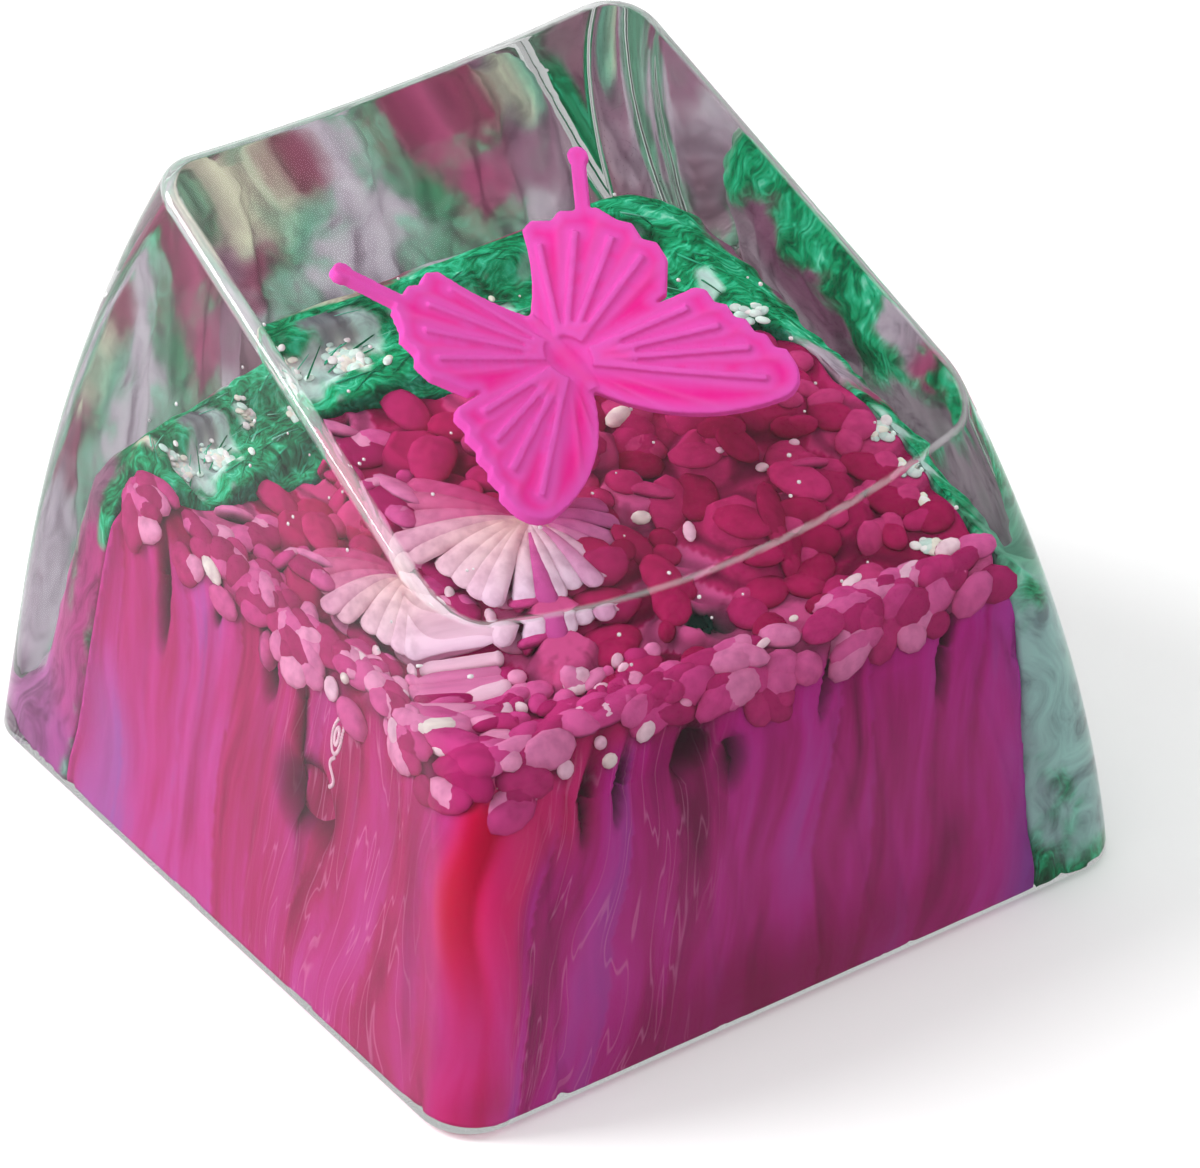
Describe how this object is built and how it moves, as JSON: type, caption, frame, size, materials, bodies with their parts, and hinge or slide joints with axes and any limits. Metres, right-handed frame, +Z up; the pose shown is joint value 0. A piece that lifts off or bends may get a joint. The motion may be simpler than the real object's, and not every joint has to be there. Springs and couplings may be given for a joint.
{
  "type": "artisan keycap",
  "caption": "Tall sculpted keycap cast in clear resin, with a tilted dished top, marbled pigment and a butterfly sealed inside, and a cross-shaped stem socket in its hollow underside.",
  "frame": {"origin": "centre of the base, in the plane of the rim it rests on", "axes": "+X along the keyboard row, +Y to the back and higher edge, +Z up out of the key switch"},
  "size_m": [0.0182, 0.0182, 0.0151],
  "materials": {
    "clear_resin": "polished clear resin",
    "magenta_pigment": "marbled pigment in resin",
    "green_pigment": "marbled pigment in resin",
    "pink_plastic": "moulded pink plastic"
  },
  "bodies": {
    "root": {"clear_cap": "clear_resin", "magenta_pour": "magenta_pigment", "green_pour": "green_pigment", "butterfly": "pink_plastic"}
  },
  "joints": []
}
